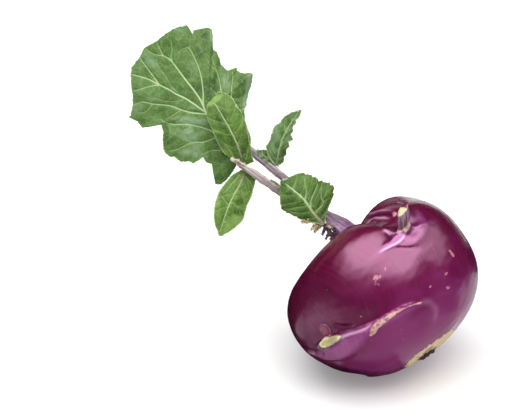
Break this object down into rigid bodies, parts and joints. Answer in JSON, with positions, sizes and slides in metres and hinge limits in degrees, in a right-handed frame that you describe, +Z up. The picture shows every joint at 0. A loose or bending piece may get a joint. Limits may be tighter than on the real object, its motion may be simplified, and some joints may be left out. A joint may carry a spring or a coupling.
{
  "type": "kohlrabi",
  "caption": "Purple kohlrabi as picked, lying on its flank: a waxy swollen stem with cut leaf stubs, and leafy stalks fanning out of its crown.",
  "frame": {"origin": "middle of the small flat spot on the bulb's flank that the kohlrabi rests on", "axes": "+Z up from the resting surface, +X from the leaves' side towards the bulb, -Y towards the side that the leaves' upper faces show"},
  "size_m": [0.167, 0.1073, 0.1526],
  "materials": {
    "kohlrabi_skin": "satin",
    "leaf_stalk": "satin",
    "leaf_blade": "matte"
  },
  "bodies": {
    "root": {"bulb": "kohlrabi_skin", "heart_bud": "leaf_blade", "leaf_1_petiole": "leaf_stalk", "leaf_1_blade": "leaf_blade", "leaf_1_side_leaflet": "leaf_blade", "leaf_2_petiole": "leaf_stalk", "leaf_2_upper_leaflet": "leaf_blade", "leaf_2_lower_leaflet": "leaf_blade", "leaf_3_petiole": "leaf_stalk", "leaf_3_blade": "leaf_blade"}
  },
  "joints": []
}
